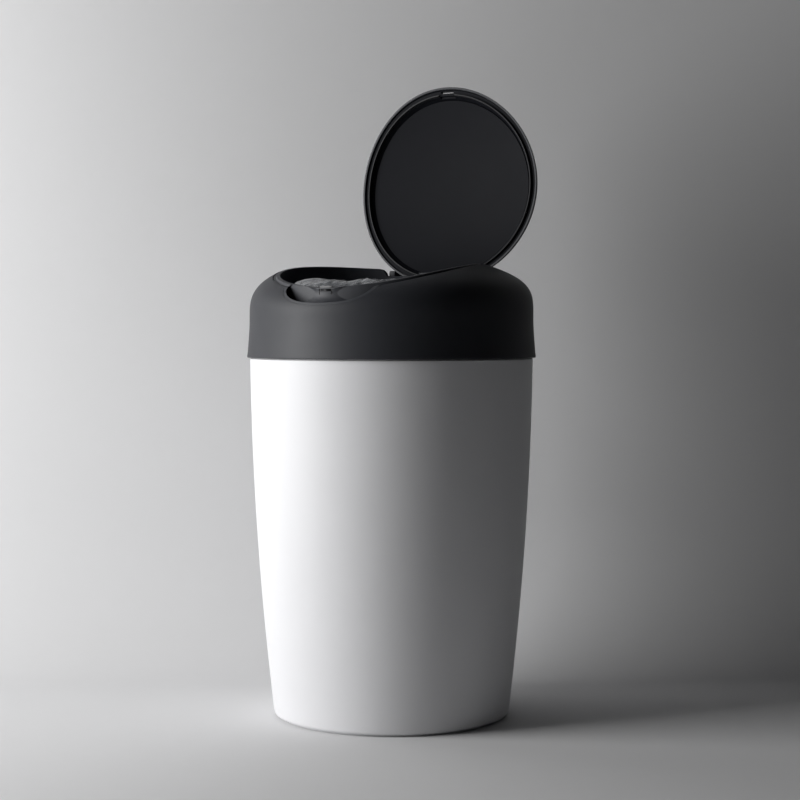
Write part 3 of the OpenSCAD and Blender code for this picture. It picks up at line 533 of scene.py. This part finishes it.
def buildCollar():
    c, h = collarSizes, hingeSizes
    band = softened([(c["out"], c["bandLow"], 0), (c["out"], c["seat"], 0.3), (c["stepOut"], c["seat"], 0.2),
                     (c["stepIn"], c["lip"], 0.5), (c["in"], c["lip"], 0.9), (c["in"], c["inLow"], 0)], 5)
    rings = aboutMouth(band, lambda r: max(0, min(1, (c["blendR"] - r) / c["blendW"])))
    inner, outer, low = c["in"], c["in"] + c["wall"], c["bottom"]
    foot = [(inner, low + c["chamfer"]), (inner + c["chamfer"], low), (outer - c["chamfer"], low),
            (outer, low + c["chamfer"])]
    rings += [lambda a, r=r, z=z: (r * math.cos(a), -head["mouthY"] + r * math.sin(a), z) for r, z in foot]
    rings += aboutMouth([(outer, c["flangeLow"]), (c["flangeIn"], c["flangeLow"]), (c["flangeIn"], c["bandLow"]),
                         (c["out"], c["bandLow"])])
    collar = rollGrid("mouthCollar", rings, 288)
    shell = scoopTorus(scoopSizes["wall"])
    combine(shell, underSkin(c["under"]), "INTERSECT")
    combine(shell, mouthCore(inner + c["scoopGap"]))
    combine(collar, shell, "UNION")

    front, back = h["frontY"], h["frontY"] + c["deckBack"]
    deckFront, endsFront = h["y"] - c["deckFront"], h["y"] - c["endsFront"]
    deck = slabAlongX(underCrown(deckFront, back, crownAt(deckFront, -c["deckLow"]), -c["deckSink"]),
                      -c["deckW"], c["deckW"], "deck")
    ends = slabAlongX(underCrown(endsFront, back, c["notchZ"] - c["endsLow"], -c["endsSink"]),
                      -c["endsW"], c["endsW"], "ends")
    combine(deck, ends, "UNION")
    combine(deck, mouthCore(inner + c["wall"] / 2))
    combine(collar, deck, "UNION")

    side = h["wellW"] + h["wall"]
    combine(collar, blockAt((c["wellIn"] - side, front + c["wellFront"], belowHead),
                            (side - c["wellIn"], c["behind"], aboveHead)))
    leaning = h["wall"] / math.cos(math.radians(h["lean"]))
    well = wellForm(wellR + h["wall"], 2 * side, front - h["y"], leaning, "well")
    combine(well, wellForm(wellR, 2 * h["wellW"], front - h["y"] + h["wall"], 0, "hollow"))
    combine(well, underSkin(c["wellUnder"]), "INTERSECT")
    combine(collar, well, "UNION")

    swing = math.hypot(h["armReach"], h["armLow"]) + h["gap"]
    reach = h["y"] + h["armLean"] - h["armReach"] - h["gap"]
    halfLug, halfPocket = h["lugW"] / 2, h["armW"] / 2 + h["gap"]
    webFront, webLow, webHigh = front + c["webIn"], h["z"] - c["webH"], h["z"] + c["webH"]
    web = [(webFront, webLow), (h["y"], webLow), (h["y"], webHigh), (webFront, webHigh)]
    for s in (-1, 1):
        x, arm, pin = s * (h["lugIn"] + halfLug), s * h["armX"], s * c["pinX"]
        combine(collar, rodAlongX(h["y"], h["z"], h["bossR"], x - halfLug, x + halfLug), "UNION")
        combine(collar, slabAlongX(web, x - halfLug, x + halfLug), "UNION")
        pocket = rodAlongX(h["y"], h["z"], swing, arm - halfPocket, arm + halfPocket)
        combine(pocket, blockAt((arm - halfPocket, reach, h["z"]), (arm + halfPocket, c["pocketBack"], aboveLip)),
                "UNION")
        combine(pocket, blockAt((-c["pocketHalf"], front + c["pocketFront"], c["pocketLow"]),
                                (c["pocketHalf"], c["pocketEnd"], aboveHead)))
        combine(collar, pocket)
        combine(collar, rodAlongX(h["y"], h["z"], h["pinR"] + c["pinGap"], pin - c["pinHalf"], pin + c["pinHalf"],
                                  sides=48))
        combine(collar, notchEnd(s))
    combine(collar, blockAt((-c["notchW"], c["notchFront"], c["notchZ"]), (c["notchW"], c["notchBack"], aboveLip)))
    combine(collar, blockAt((-c["endOut"], c["seamFront"], c["notchZ"]), (c["endOut"], c["seamBack"], aboveLip)))

    hollow = scoopTorus(0)
    combine(hollow, mouthCore(outer + c["hollowGap"]))
    combine(collar, hollow)
    latch, window = latchSizes, windowSizes
    slotY = -head["mouthY"] - latch["r"]
    lip = crownAt(slotY + head["lipShift"]) + c["lip"]
    combine(collar, blockAt((-latch["w"], slotY - latch["slot"], lip - window["slotLow"]),
                            (latch["w"], slotY + latch["slot"], aboveLip)))
    combine(collar, blockAt((-latch["w"], window["front"], lip - window["low"]),
                            (latch["w"], window["back"], lip - window["high"])))
    finishPiece(collar, "head", "collar", "collar_charcoal", "collar", angle=38)
    modify(collar, "WEIGHTED_NORMAL", keep_sharp=True)


buildCollar()


# Lid, made shut and then turned to where it stands open

def opened(obj):
    h = hingeSizes
    about = Vector((0, h["y"], h["z"])) * mm
    turnBack = Matrix.Rotation(math.radians(-lidSizes["open"]), 4, "X")
    obj.data.transform(Matrix.Translation(about) @ turnBack @ Matrix.Translation(-about))
    obj.data.update()


def domeZ(x, y, r, lift, rise):
    # an arc from front to back over the middle's rise, with an arc across it of the same rise
    front, back = -head["mouthY"] - r, -head["mouthY"] + r
    a, c = Vector((front, crownAt(front) + lift)), Vector((back, crownAt(back) + lift))
    b = Vector((-head["mouthY"], crownAt(-head["mouthY"]) + lift + rise))
    d = 2 * (a.x * (b.y - c.y) + b.x * (c.y - a.y) + c.x * (a.y - b.y))
    qa, qb, qc = a.length_squared, b.length_squared, c.length_squared
    cy = (qa * (b.y - c.y) + qb * (c.y - a.y) + qc * (a.y - b.y)) / d
    cz = (qa * (c.x - b.x) + qb * (a.x - c.x) + qc * (b.x - a.x)) / d
    big = math.hypot(a.x - cy, a.y - cz)
    cross = (r * r + rise * rise) / (2 * rise)
    reach = big - cross + math.sqrt(cross * cross - x * x)
    return cz + math.sqrt(reach * reach - (y - cy) ** 2)


def domeRing(radius, r, lift, rise):
    def at(a):
        x, y = radius * math.cos(a), -head["mouthY"] + radius * math.sin(a)
        return (x, y, domeZ(x, y, r, lift, rise))
    return at


def domeRings(r, lift, rise, steps, reach=None):
    # rings from the middle out to the reach, closer together towards the edge
    reach = r if reach is None else reach
    return [domeRing(reach * math.sin(math.pi / 2 * i / steps), r, lift, rise) for i in range(steps + 1)]


def slotCutter():
    # the slot that the latch's catch comes through
    latch = latchSizes
    y, z = -head["mouthY"] - latch["r"], crownAt(-head["mouthY"] - latch["r"])
    return blockAt((-latch["w"], y - latch["slot"], z - latch["low"]),
                   (latch["w"], y + latch["slot"], z + latch["high"]))


# profile is how the lid's edge runs from the dome down to its foot: distance in from the radius, height, rounding
rimSizes = {"dome": 3.5, "skin": 0.02, "foot": 0.2, "footRound": 0.35, "inside": 2.5,
            "profile": [(3.0, 6.35, 0), (1.9, 5.3, 1.2), (0.7, 3.6, 1.5), (0, 1.2, 1.5), (0, 0.2, 0.35)]}
coverSizes = {"low": 4, "thick": 2, "in": 0.4, "step": 4, "sink": 0.3}
curtainSizes = {"half": 34, "low": 383.3, "high": 389.5, "reach": 90, "skin": 0.02}
armSizes = {"skin": 1.2, "middle": 4.8, "behind": 2.5, "knee": 8, "sink": 1, "round": 0.6, "boss": 0.5,
            "pinGap": 0.06, "pinHalf": 5}


def coverOutline():
    # the rolled cover at the lid's back, seen from the side: round about the hinge, then along the dome
    s, h, c = lidSizes, hingeSizes, coverSizes
    y, z = h["y"], h["z"]
    arc = [rollTop - (rollTop - math.radians(c["low"])) * i / 24 for i in range(25)]
    flat = [-head["mouthY"] + s["r"] - c["in"] - i * c["step"] for i in range(4)]
    inR = rollR - c["thick"]
    outline = [(y + rollR * math.cos(b), z + rollR * math.sin(b)) for b in arc]
    outline += [(y + inR * math.cos(b), z + inR * math.sin(b)) for b in reversed(arc)]
    outline += [(p, crownAt(p, s["edge"] - c["thick"])) for p in flat]
    return outline + [(p, crownAt(p, s["edge"] - c["sink"])) for p in reversed(flat)]


def armOutline():
    # one of the two arms that carry the lid, seen from the side
    s, h, a = lidSizes, hingeSizes, armSizes
    y, z, r = h["y"], h["z"], rollR - a["skin"]
    tip = h["armReach"] - h["armLean"]
    bends = [math.radians(10 + 10 * k) for k in range(9)]
    outline = [(y - h["armReach"], z - h["armLow"]), (y, z - a["middle"]), (y + r, z + a["behind"])]
    outline += [(y + r * math.cos(b), z + r * math.sin(b)) for b in bends]
    outline += [(p, crownAt(p, s["edge"] - a["sink"])) for p in (y - a["knee"], y - tip)]
    return outline + [(y - tip, z + h["armHigh"])]


def buildLidShell():
    s, h, a = lidSizes, hingeSizes, armSizes
    r, wall, y, z = s["r"], s["wall"], h["y"], h["z"]
    outer = domeRings(r, s["edge"], s["rise"], 40, r - rimSizes["dome"])
    rim = [(r - back, up, bend) for back, up, bend in rimSizes["profile"]]
    rim += [(r - wall, rimSizes["foot"], rimSizes["footRound"]), (r - wall, rimSizes["inside"], 0)]
    inner = domeRings(r, s["edge"] - wall, s["rise"], 24, r - wall - rimSizes["skin"])
    shell = rollGrid("lidShell", outer + aboutMouth(softened(rim)) + inner[::-1], 288)
    width = h["wellW"] - h["gap"]
    combine(shell, slabAlongX(coverOutline(), -width, width, "cover"), "UNION")
    low, high = curtainSizes["low"], curtainSizes["high"]
    curtain = mouthCore(r - curtainSizes["skin"], "curtain")
    combine(curtain, mouthCore(r - wall))
    combine(curtain, blockAt((-curtainSizes["half"], 0, low), (curtainSizes["half"], curtainSizes["reach"], high)),
            "INTERSECT")
    combine(shell, curtain, "UNION")
    halfArm = h["armW"] / 2
    for side in (-1, 1):
        x = side * h["armX"]
        arm = slabAlongX(armOutline(), x - halfArm, x + halfArm, "arm")
        modify(arm, "BEVEL", width=a["round"] * mm, segments=3, limit_method="ANGLE")
        combine(shell, arm, "UNION")
        combine(shell, rodAlongX(y, z, h["bossR"] - a["boss"], x - halfArm, x + halfArm, sides=64), "UNION")
        combine(shell, rodAlongX(y, z, h["pinR"] + a["pinGap"], x - a["pinHalf"], x + a["pinHalf"], sides=48))
    combine(shell, slotCutter())
    opened(shell)
    finishPiece(shell, "lid", "lid", "housing_charcoal", "lid_shell", angle=38)


linerSizes = {"gap": 0.3, "round": 0.2, "lip": 0.9, "stepIn": 0.5, "backOut": 1.2, "backR": 1.4, "backRise": 0.4,
              "footOut": 1.6, "recessW": 7.5, "recessFront": 82.6, "recessBack": 74, "recessLow": 1,
              "recessHigh": 4.6, "recessFrontY": -105, "recessBackY": -96.5}


def buildLidLiner():
    s, n = lidSizes, linerSizes
    stepR, panelR, flange, wall = s["stepR"], s["panelR"], s["flange"], s["linerWall"]
    stepRise = (s["panel"] - flange) / (1 - (panelR / stepR) ** 2)
    out = s["r"] - s["wall"] - n["gap"]
    face = aboutMouth([(out, flange + n["lip"]), (out, flange + n["round"]), (out - n["round"], flange),
                       (stepR + n["stepIn"], flange)])
    face += [domeRing(stepR - (stepR - panelR) * i / 8, stepR, flange, stepRise) for i in range(9)]
    face += domeRings(panelR, s["panel"], s["panelRise"], 40)[-2::-1]
    back = domeRings(panelR, s["panel"] + wall, s["panelRise"], 12)
    foot = stepR + n["backOut"]
    back += [domeRing(foot - (foot - panelR) * i / 4, stepR + n["backR"], flange + n["backRise"], stepRise)
             for i in range(3, -1, -1)]
    back += aboutMouth([(stepR + n["footOut"], flange + wall), (out - n["round"], flange + wall),
                        (out, flange + n["lip"])])
    liner = rollGrid("lidLiner", face + back, 288)
    front, rear = -head["mouthY"] - n["recessFront"], -head["mouthY"] - n["recessBack"]
    frontZ, rearZ = crownAt(n["recessFrontY"]), crownAt(n["recessBackY"])
    low, high = n["recessLow"], n["recessHigh"]
    recess = [(front, frontZ + low), (front, frontZ + high), (rear, rearZ + high), (rear, rearZ + low)]
    combine(liner, slabAlongX(recess, -n["recessW"], n["recessW"], "recess"))
    combine(liner, slotCutter())
    opened(liner)
    finishPiece(liner, "lid", "liner", "liner_black", "lid_liner", angle=30)


sealSizes = {"in": 82.5, "out": 83.6, "low": -0.15, "high": 2.2, "round": 0.4, "gapW": 8, "gapFront": -120,
             "gapBack": -95, "gapLow": 340}


def buildSeal():
    s = sealSizes
    ring = softened([(s["in"], s["high"], 0), (s["in"], s["low"], s["round"]), (s["out"], s["low"], s["round"]),
                     (s["out"], s["high"], 0), (s["in"], s["high"], 0)])
    seal = rollGrid("lidSeal", aboutMouth(ring), 288)
    combine(seal, blockAt((-s["gapW"], s["gapFront"], s["gapLow"]), (s["gapW"], s["gapBack"], aboveHead)))
    opened(seal)
    finishPiece(seal, "lid", "rubber", "seal_rubber", "lid_seal")


buildLidShell()
buildLidLiner()
buildSeal()


# Pieces whose CAD shape is right: a welded, smooth-shaded copy stands for each

def dressedCopy(node, name, body, finish, slot, angle=30):
    deselectAll()
    source = cadNodes[node]
    copy = bpy.data.objects.new(name, source.data.copy())
    bpy.context.scene.collection.objects.link(copy)
    copy.data.name = name
    weld(copy, 0.000001)
    finishPiece(copy, body, finish, slot, node, angle=angle)


for node, name, body, finish, slot in (
        ("latch_catch", "latchCatch", "head", "trim", "trim_black"),
        ("hinge_pin_left", "hingePinLeft", "head", "steel", "steel"),
        ("hinge_pin_right", "hingePinRight", "head", "steel", "steel"),
        ("tray", "cassetteTray", "head", "inner", "inner_plastic"),
        ("tray_screws", "trayScrews", "head", "steel", "steel"),
        ("click_spring", "clickSpring", "head", "steel", "steel"),
        ("film_gripper", "filmGripper", "head", "trim", "trim_black"),
        ("cutter_guard", "cutterGuard", "head", "guard", "guard_white"),
        ("cutter_blade", "cutterBlade", "head", "steel", "steel"),
        ("twist_ring", "twistRing", "twist", "inner", "inner_plastic"),
        ("cassette_cup", "cassetteCup", "twist", "cassette", "cassette"),
        ("cassette_cap", "cassetteCap", "twist", "cassette", "cassette"),
        ("film_pack", "filmPack", "twist", "film", "film")):
    dressedCopy(node, name, body, finish, slot)


# Film: pulled up out of the cassette, over the mouth and down to the closed bag

filmSizes = {"capTop": 364.61, "grip": 284.2, "bagR": 40.0, "bagL": 62.0, "throat": 14.0, "billow": 10.5,
             "bore": 56.0, "thick": 0.15}


def filmLine():
    # the film from the cassette's slot to the end of the bag, as (radius, height), through points on a smooth line
    f = filmSizes
    b, top, grip, up, bag, deep = f["bore"], f["capTop"], f["grip"], f["billow"], f["bagR"], f["bagL"]
    line = [(b + 3.6, top - 1.6), (b + 3.2, top + 2), (b - 1, top + 0.75 * up), (b - 10, top + up),
            (b - 19, top + 0.7 * up), (b - 27, top - 6), (0.3 * b + 6, (top + grip) / 2 + 6),
            (f["throat"] + 2, grip + 14), (f["throat"], grip - 2), (0.8 * bag, grip - 0.22 * deep),
            (bag, grip - 0.45 * deep), (0.85 * bag, grip - 0.7 * deep), (0.4 * bag, grip - 0.9 * deep),
            (4, grip - deep)]
    last = len(line) - 1
    dense = []
    for i in range(last):
        p0, p1, p2, p3 = (Vector(line[max(0, min(last, i + k))]) for k in (-1, 0, 1, 2))
        bend, sway = 2 * p0 - 5 * p1 + 4 * p2 - p3, 3 * p1 - p0 - 3 * p2 + p3
        for t in (k / 8 for k in range(8)):
            dense.append(0.5 * ((2 * p1) + (p2 - p0) * t + bend * t * t + sway * t ** 3))
    return dense + [Vector(line[-1])]


# Humps of the billow: direction round the mouth in degrees, width of it, extra height
filmHumps = [(-146, 8, 1.6), (-108, 16, -0.6), (-74, 16, 0.6), (-40, 16, -1.6), (8, 22, 1.6), (60, 24, 3.0),
             (112, 20, 4.2), (160, 24, 0.4)]
# Where the film spills out over the cassette: direction and its width, how far, which ring and how many
filmSpill = {"where": -142, "wide": 34, "far": 15, "ring": 14, "rings": 9, "up": 0.06}
# Uneven folds of the film: fineness round it and down it, a shift of the pattern, height in mm
filmNoise = {"crumple": (4.2, 0.13, 0, 0, 1.3), "crease": (9, 0.21, 0, 5, -1.5), "tuck": (17, 0.30, 3, 0, -0.9)}
# Even folds: how many and how deep, how they wander and slant on the way down
filmFolds = {"count": 9, "deep": 0.7, "fine": 1.6, "down": 0.05, "wander": 2.7, "slant": 0.03}
# Rings of the film: full folds from this one on, weaker ones in the throat and the bag, and the billow's top
filmRings = {"full": 12, "throat": 50, "bag": 72, "throatShare": 0.35, "bagShare": 0.8, "top": 22, "topWide": 9}


def bellAt(value, middle, wide):
    return math.exp(-((value - middle) / wide) ** 2)


def turnBetween(a, where):
    return (math.degrees(a) - where + 180) % 360 - 180


def filmFold(kind, a, k):
    fine, down, across, along, height = filmNoise[kind]
    value = noise.noise(Vector((math.cos(a) * fine + across, math.sin(a) * fine, k * down + along)))
    return (value if kind == "crumple" else abs(value)) * height


def filmRing(line, k):
    last = len(line) - 1
    here, ahead, behind = line[k], line[min(k + 1, last)], line[max(k - 1, 0)]
    along = (ahead - behind).normalized()
    out = Vector((-along.y, along.x))
    part = filmRings
    share = min(1, k / part["full"])
    share *= 1 if k < part["throat"] else part["throatShare"] if k < part["bag"] else part["bagShare"]
    top = bellAt(k, part["top"], part["topWide"])

    def at(a):
        s, f = filmSpill, filmFolds
        wander = noise.noise(Vector((math.cos(a) * f["fine"], math.sin(a) * f["fine"], k * f["down"])))
        fold = math.cos(f["count"] * a + f["wander"] * wander + k * f["slant"]) * f["deep"]
        push = share * (fold + filmFold("crumple", a, k) + filmFold("crease", a, k) + filmFold("tuck", a, k))
        hump = sum(rise * bellAt(turnBetween(a, where), 0, wide) for where, wide, rise in filmHumps)
        spill = s["far"] * bellAt(turnBetween(a, s["where"]), 0, s["wide"]) * bellAt(k, s["ring"], s["rings"])
        r, z = here.x + out.x * push + spill, here.y + out.y * push + top * hump + s["up"] * spill
        return (r * math.cos(a), r * math.sin(a) - head["mouthY"], z)
    return at


def buildFilm():
    line = filmLine()
    film = rollGrid("filmSleeve", [filmRing(line, k) for k in range(len(line))], 320)
    area = sum(f.area for f in film.data.polygons)
    modify(film, "SOLIDIFY", thickness=filmSizes["thick"] * mm, offset=0)
    finishPiece(film, "twist", "film", "film", "film_sleeve", angle=60)
    print("film area", round(area, 4))


buildFilm()


# Studio: one pale sheet that curves up behind, a large soft light at the left

studio = {"half": 1.8, "front": -1.6, "middle": -0.8, "back": 0.28, "bend": 0.15, "top": 3.0,
          "color": (0.74, 0.74, 0.745), "fleck": 0.985}
lamps = {"keyLight": {"side": -1.20, "depth": -0.35, "height": 0.62, "wide": 0.72, "tall": 1.05, "power": 18.4,
                      "aim": 0.42},
         "fillLight": {"side": 0.6, "depth": -1.6, "height": 1.9, "wide": 1.6, "tall": 1.0, "power": 0.1,
                       "aim": 0.28}}
air = {"color": (0.75, 0.77, 0.8), "light": 0.004, "seen": 0.3}


def buildStudio():
    s = studio
    bend, bendStart = s["bend"], s["back"] - s["bend"]
    track = [(s["front"], 0.0), (s["middle"], 0.0), (bendStart, 0.0)]
    for t in (math.pi / 2 * i / 16 for i in range(1, 17)):
        track.append((bendStart + bend * math.sin(t), bend - bend * math.cos(t)))
    track.append((s["back"], s["top"]))
    last = len(track) - 1
    deselectAll()
    bpy.ops.mesh.primitive_grid_add(x_subdivisions=8, y_subdivisions=last, size=2)
    sweep = bpy.context.object
    sweep.name = sweep.data.name = "studioSweep"
    for v in sweep.data.vertices:
        depth, height = track[round((v.co.y + 1) / 2 * last)]
        v.co = toRight * v.co.x * s["half"] + toBack * depth + Vector((0, 0, height))
    smooth(sweep, 60)

    # the paper is clear from behind, so that a camera there sees the bin
    paper = Shader("studioPaper")
    fleck = paper.grain(paper.place(), scale=60, detail=4)
    facing = paper.add("ShaderNodeNewGeometry", {}, {}, output=6) * -1 + 1
    tint = paper.mix(fleck, tuple(c * s["fleck"] for c in s["color"]), s["color"])
    paper.finish(paper.plastic(alpha=facing, color=tint, rough=0.9, gloss=0.2))
    sweep.data.materials.append(paper.material)
    print("studio paper laid")


def softLight(name):
    place = lamps[name]
    deselectAll()
    spot = toRight * place["side"] + toBack * place["depth"] + Vector((0, 0, place["height"]))
    bpy.ops.object.light_add(type="AREA", location=spot)
    lamp = bpy.context.object
    lamp.name = name
    lamp.rotation_euler = (Vector((0, 0, place["aim"])) - spot).to_track_quat("-Z", "Y").to_euler()
    lamp.data.shape = "RECTANGLE"
    lamp.data.size = place["wide"]
    lamp.data.size_y = place["tall"]
    lamp.data.energy = place["power"]


def addAir():
    # the world gives hardly any light, but is a plain grey where the camera looks past the paper
    world = bpy.data.worlds.new("studioAir")
    world.use_nodes = True
    tree = world.node_tree
    background = tree.nodes["Background"]
    background.inputs["Color"].default_value = (*air["color"], 1)
    seen = tree.nodes.new("ShaderNodeLightPath").outputs["Is Camera Ray"]
    strength = tree.nodes.new("ShaderNodeMapRange")
    strength.inputs["To Min"].default_value = air["light"]
    strength.inputs["To Max"].default_value = air["seen"]
    tree.links.new(seen, strength.inputs["Value"])
    tree.links.new(strength.outputs["Result"], background.inputs["Strength"])
    bpy.context.scene.world = world


buildStudio()
for name in lamps:
    softLight(name)
addAir()
bpy.context.scene.view_settings.view_transform = "Standard"
print("studio lit")

for obj in cadNodes.values():
    if not obj.data.materials or obj.data.materials[0] is None:
        wear(obj, "inner")
